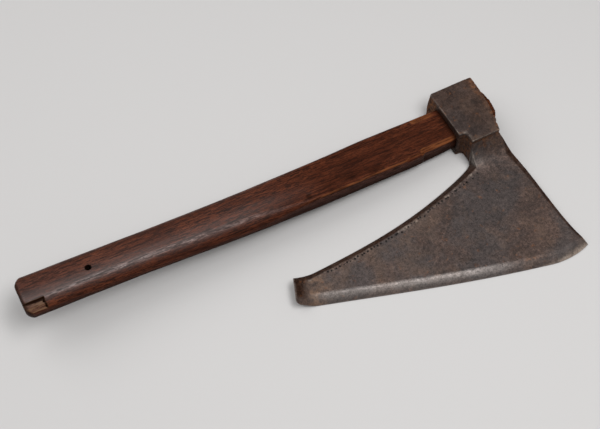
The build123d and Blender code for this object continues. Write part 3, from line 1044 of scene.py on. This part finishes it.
# ---- materials
class Nodes:
    """A short way to write a material's node tree. Values are numbers or nodes' outputs."""

    def __init__(self, name):
        self.material = bpy.data.materials.new(name)
        self.material.use_nodes = True
        self.tree = self.material.node_tree
        self.shader = self.tree.nodes["Principled BSDF"]
        self.place = self.add("ShaderNodeTexCoord").outputs["Object"]

    def add(self, kind, inputs=None, **settings):
        node = self.tree.nodes.new(kind)
        for key, value in settings.items():
            setattr(node, key, value)
        for key, value in (inputs or {}).items():
            self.link(value, node.inputs[key])
        return node

    def link(self, source, target):
        if isinstance(source, bpy.types.NodeSocket):
            self.tree.links.new(source, target)
        else:
            target.default_value = source

    def feed(self, name, value):
        """Gives the material's shader one of its inputs."""
        self.link(value, self.shader.inputs[name])

    def noise(self, scale, detail, roughness, distortion=0.0):
        """Noise with one scale, or with its own along X, Y and Z."""
        place = self.place
        if isinstance(scale, tuple):
            place = self.add("ShaderNodeMapping", {"Vector": place, "Scale": scale}).outputs[0]
            scale = 1.0
        inputs = {"Vector": place, "Scale": scale, "Detail": detail,
                  "Roughness": roughness, "Distortion": distortion}
        return self.add("ShaderNodeTexNoise", inputs).outputs["Fac"]

    def cells(self, scale):
        return self.add("ShaderNodeTexVoronoi", {"Vector": self.place, "Scale": scale}).outputs["Distance"]

    def ramp(self, value, *stops):
        """value mapped through (position, number or colour) stops."""
        node = self.add("ShaderNodeValToRGB", {0: value})
        elements = node.color_ramp.elements
        while len(elements) < len(stops):
            elements.new(0.5)
        for element, (position, colour) in zip(elements, stops):
            element.position = position
            if not isinstance(colour, tuple):
                colour = (colour, colour, colour)
            element.color = (*colour, 1)
        return node.outputs[0]

    def mix(self, factor, a, b):
        a, b = ((*value, 1) if isinstance(value, tuple) else value for value in (a, b))
        return self.add("ShaderNodeMix", {0: factor, 6: a, 7: b}, data_type="RGBA").outputs[2]

    def coated(self, colour, *coats):
        """colour under coats, each (cover, its own colour), from the lowest up."""
        for cover, coat in coats:
            colour = self.mix(cover, colour, coat)
        return colour

    def math(self, operation, *values):
        return self.add("ShaderNodeMath", dict(enumerate(values)), operation=operation).outputs[0]

    def plus(self, a, b):
        return self.math("ADD", a, b)

    def minus(self, a, b):
        return self.math("SUBTRACT", a, b)

    def times(self, a, b):
        return self.math("MULTIPLY", a, b)

    def most(self, a, b):
        return self.math("MAXIMUM", a, b)

    def less(self, value, cover, share=1.0):
        """value, brought down by share where cover is 1."""
        return self.times(value, self.minus(1.0, self.times(cover, share)))

    def attribute(self, name, output="Fac"):
        return self.add("ShaderNodeAttribute", attribute_name=name).outputs[output]

    def bump(self, height, strength, distance):
        inputs = {"Height": height, "Strength": strength, "Distance": distance}
        self.feed("Normal", self.add("ShaderNodeBump", inputs).outputs[0])


COOL_PATINA = (0.022, 0.017, 0.0165), (0.086, 0.071, 0.068)
WARM_PATINA = (0.060, 0.036, 0.025), (0.165, 0.104, 0.074)
IRON_GRIME_AND_SHADE = (0.012, 0.0048, 0.0026), (0.042, 0.0175, 0.009)
RUST = (0.055, 0.019, 0.008), (0.25, 0.095, 0.030)
# ground metal, brightened to stand for a highlight on the bevel and neck
GROUND_METAL_AND_HIGHLIGHT = (0.115, 0.099, 0.092), (0.190, 0.170, 0.160)
PIT_COLOUR = (0.016, 0.010, 0.008)
FLECK_COLOUR = (0.20, 0.145, 0.12)
TAN_SCALE = (0.19, 0.112, 0.070)
RUBBED_METAL_AND_HIGHLIGHT = (0.50, 0.43, 0.37)
PUNCH_SHADE = (0.006, 0.004, 0.003)


def iron_material(name, dark, middle, light, rust_amount=0.5):
    """Old forged iron: mottled brown patina, pits, rust specks, bright where it is worn and where highlights
    are painted on arrises, the bevel and the neck.
    """
    n = Nodes(name)
    broad = n.noise(30, 4, 0.6, 0.4)
    fine = n.noise(260, 5, 0.72)
    grain = n.noise(800, 3, 0.7)
    tone = n.plus(n.plus(n.times(broad, 0.26), n.times(fine, 0.42)), n.times(grain, 0.32))
    cool = n.ramp(n.noise(15, 4, 0.6, 0.3), (0.46, 0.0), (0.58, 0.8))
    warm = n.ramp(n.noise(24, 5, 0.62, 0.5), (0.52, 0.0), (0.64, 0.55))
    patches = n.ramp(n.noise(95, 4, 0.6), (0.40, 0.0), (0.62, 1.0))
    pits = n.times(n.ramp(n.cells(430), (0.10, 1.0), (0.30, 0.0)), patches)
    pits = n.most(pits, n.ramp(grain, (0.30, 0.8), (0.38, 0.0)))
    flecks = n.ramp(n.noise(620, 4, 0.75), (0.60, 0.0), (0.70, 0.45))
    tan = n.times(n.attribute("tan"), n.ramp(fine, (0.36, 0.2), (0.58, 1.0)))
    # grime, and painted shade where the pieces paint it
    grime = n.times(n.attribute("grime"), n.ramp(fine, (0.3, 1.0), (0.75, 0.8)))
    spots = n.ramp(n.noise(120, 5, 0.65), (0.61, 0.0), (0.68, rust_amount))
    crust = n.times(n.attribute("rust"), n.ramp(n.noise(230, 5, 0.7), (0.36, 0.2), (0.56, 1.0)))
    crust = n.most(spots, crust)
    # polish, and painted highlight on the bevel and the neck
    polished = n.attribute("polish")
    polish = n.times(polished, n.ramp(fine, (0.36, 0.7), (0.56, 1.0)))
    wear = n.times(n.attribute("wear"), n.ramp(fine, (0.38, 0.3), (0.56, 1.0)))
    colour = n.coated(
        n.ramp(tone, (0.43, dark), (0.505, middle), (0.60, light)),
        (cool, n.ramp(tone, (0.43, COOL_PATINA[0]), (0.60, COOL_PATINA[1]))),
        (warm, n.ramp(tone, (0.43, WARM_PATINA[0]), (0.60, WARM_PATINA[1]))),
        (n.times(pits, 0.7), PIT_COLOUR),
        (flecks, FLECK_COLOUR),
        (tan, TAN_SCALE),
        (grime, n.ramp(tone, (0.42, IRON_GRIME_AND_SHADE[0]), (0.58, IRON_GRIME_AND_SHADE[1]))),
        (crust, n.ramp(fine, (0.38, RUST[0]), (0.62, RUST[1]))),
        (n.times(polish, 0.8), n.ramp(grain, (0.36, GROUND_METAL_AND_HIGHLIGHT[0]), (0.64, GROUND_METAL_AND_HIGHLIGHT[1]))),
        (wear, RUBBED_METAL_AND_HIGHLIGHT),
        (n.attribute("pit"), PUNCH_SHADE),
    )
    n.feed("Base Color", colour)
    metal = n.most(n.times(polish, 0.7), n.times(wear, 0.6))
    metal = n.most(metal, n.ramp(tone, (0.44, 0.15), (0.60, 0.5)))
    n.feed("Metallic", n.less(metal, n.most(crust, grime)))
    rough = n.minus(n.ramp(fine, (0.35, 0.60), (0.65, 0.44)), n.times(polished, 0.12))
    n.feed("Roughness", n.plus(rough, n.times(n.most(pits, crust), 0.22)))
    n.feed("Specular IOR Level", n.minus(0.38, n.times(grime, 0.33)))
    height = n.minus(n.plus(fine, n.times(grain, 0.5)), n.times(pits, 0.8))
    n.bump(n.less(height, polished, 0.95), 0.7, 0.0006)
    return n.material


OPEN_GRAIN = (0.008, 0.003, 0.0018)
ORANGE_WOOD = (0.19, 0.062, 0.021)
RAW_WOOD = (0.135, 0.066, 0.030)
WOOD_GRIME_AND_SHADE = (0.011, 0.004, 0.0022)


def wood_material(name, dark, middle, light):
    """Open-grained hardwood, dark with handling: streaks, pores and a worn sheen."""
    n = Nodes(name)
    n.place = n.attribute("grain", "Vector")
    streaks = n.noise((40, 430, 430), 5, 0.65, 0.2)
    broad = n.noise((9, 45, 45), 3, 0.5, 0.4)
    dashes = n.noise((110, 900, 900), 2, 0.6)
    pores = n.noise((320, 1900, 1900), 2, 0.5)
    checks = n.noise((11, 520, 520), 1, 0.4, 0.1)
    sheen = n.attribute("sheen")
    # The crack wanders along the ridge, in broken lengths, where the hand has polished it.
    across = n.add("ShaderNodeSeparateXYZ", {0: n.place}).outputs[1]
    wander = n.math("MULTIPLY_ADD", n.noise((20, 0, 0), 2, 0.5), 0.006, RIDGE_Y * MM - 0.003)
    crack = n.times(n.math("ABSOLUTE", n.minus(across, wander)), 1 / MM)
    crack = n.ramp(crack, (0.35, 1.0), (0.85, 0.0))
    breaks = n.ramp(n.noise((55, 0, 0), 2, 0.5), (0.44, 0.0), (0.50, 1.0))
    crack = n.times(n.times(crack, breaks), n.ramp(sheen, (0.05, 0.0), (0.30, 1.0)))
    tone = n.plus(n.times(streaks, 0.62), n.times(broad, 0.38))
    dash_mask = n.ramp(dashes, (0.43, 1.0), (0.495, 0.0))
    dash_mask = n.times(dash_mask, n.ramp(broad, (0.38, 0.6), (0.58, 1.0)))
    pore_mask = n.ramp(pores, (0.38, 0.8), (0.46, 0.0))
    check_mask = n.ramp(checks, (0.275, 1.0), (0.30, 0.0))
    open_grain = n.most(n.most(dash_mask, pore_mask), n.most(check_mask, crack))
    orange = n.times(n.attribute("orange"), n.ramp(streaks, (0.40, 0.1), (0.56, 1.0)))
    raw = n.attribute("raw")
    # grime, and painted shade where the haft paints it
    grime = n.attribute("grime")
    colour = n.coated(
        n.ramp(tone, (0.37, dark), (0.49, middle), (0.66, light)),
        (n.times(open_grain, 0.8), OPEN_GRAIN),
        (orange, ORANGE_WOOD),
        (n.times(raw, n.ramp(streaks, (0.42, 0.15), (0.56, 1.0))), RAW_WOOD),
        (grime, WOOD_GRIME_AND_SHADE),
    )
    n.feed("Base Color", colour)
    rough = n.plus(n.ramp(streaks, (0.36, 0.46), (0.62, 0.36)), n.times(raw, 0.25))
    rough = n.minus(rough, n.times(sheen, 0.03))
    n.feed("Roughness", n.plus(rough, n.times(open_grain, 0.25)))
    specular = n.math("MULTIPLY_ADD", sheen, 0.62, 0.06)
    n.feed("Specular IOR Level", n.less(specular, grime, 0.85))
    height = n.minus(streaks, n.times(dash_mask, 0.6))
    n.bump(n.less(height, sheen, 0.6), 0.3, 0.0004)
    return n.material


# ---- stage
CAMERA_AZIMUTH = math.radians(-27.4)
CAMERA_ELEVATION = math.radians(60.0)
CAMERA_DISTANCE = 1.228
CAMERA_LENS = 67.8
CAMERA_TARGET = Vector((0.0241, 0.0644, 0.0))
SENSOR_WIDTH = 36
FLOOR_SIZE = 8
FLOOR_Z = -0.0003           # just clear of the flat back, which would share its plane
WORLD_LIGHT = 0.22


# (name, across the picture, into the picture, up, size, power), in metres and watts.
LIGHTS = [
    ("key_left", -1.25, 0.55, 1.9, (2.2, 2.2), 25),
    ("overhead_front", 0.55, -0.60, 1.9, (1.4, 0.8), 11),
    ("overhead_small", 0.62, -0.47, 1.95, (0.8, 0.6), 11),
    ("overhead_grip", 0.58, 0.12, 1.9, (0.6, 0.6), 6.5),
]


def make_stage():
    scene = bpy.context.scene
    bpy.ops.mesh.primitive_plane_add(size=FLOOR_SIZE)
    floor = bpy.context.object
    floor.name = "floor"
    floor.location.z = FLOOR_Z
    paper = Nodes("pale_floor")
    paper.feed("Base Color", (0.60, 0.59, 0.585, 1))
    paper.feed("Roughness", 0.8)
    floor.data.materials.append(paper.material)

    side = Vector((math.cos(CAMERA_AZIMUTH), math.sin(CAMERA_AZIMUTH), 0))
    deep = Vector((-math.sin(CAMERA_AZIMUTH), math.cos(CAMERA_AZIMUTH), 0))
    up = Vector((0, 0, 1))
    camera = new_object("camera", bpy.data.cameras.new("camera"))
    back = up * math.sin(CAMERA_ELEVATION) - deep * math.cos(CAMERA_ELEVATION)
    camera.location = CAMERA_TARGET + back * CAMERA_DISTANCE
    camera.rotation_mode = "QUATERNION"
    camera.rotation_quaternion = (-back).to_track_quat("-Z", "Y")
    camera.data.lens = CAMERA_LENS
    camera.data.sensor_width = SENSOR_WIDTH
    scene.camera = camera

    world = bpy.data.worlds.new("studio")
    world.use_nodes = True
    background = world.node_tree.nodes["Background"]
    background.inputs["Color"].default_value = (1, 0.99, 0.98, 1)
    background.inputs["Strength"].default_value = WORLD_LIGHT
    scene.world = world
    scene.view_settings.view_transform = "Standard"

    for name, right, away, height, size, power in LIGHTS:
        light = bpy.data.lights.new(name, "AREA")
        light.shape = "RECTANGLE"
        light.size, light.size_y = size
        light.energy = power
        lamp = new_object(name, light)
        lamp.location = side * right + deep * away + up * height
        lamp.rotation_mode = "QUATERNION"
        lamp.rotation_quaternion = lamp.location.to_track_quat("Z", "Y")


iron = iron_material("old_iron", (0.032, 0.019, 0.0145), (0.072, 0.0435, 0.034), (0.145, 0.094, 0.075))
steel = iron_material("edge_steel", (0.033, 0.020, 0.0155), (0.074, 0.046, 0.0365), (0.15, 0.10, 0.081), 0.4)
rusted = iron_material("rusted_iron", (0.030, 0.019, 0.014), (0.070, 0.045, 0.034), (0.13, 0.09, 0.07), 0.9)
wood = wood_material("haft_wood", (0.030, 0.0074, 0.0033), (0.074, 0.0188, 0.008), (0.136, 0.038, 0.017))
wedge_wood = wood_material("wedge_wood", (0.05, 0.022, 0.010), (0.11, 0.05, 0.022), (0.17, 0.085, 0.04))
make_blade(iron, steel)
make_socket(iron)
make_haft(wood)
make_wedge("wedge_wooden", "wooden_wedge", wedge_wood, 0.35, 0.35, 81)
make_wedge("wedge_iron", "iron_cross_wedge", rusted, 0.3, 0.2, 91)
make_stage()
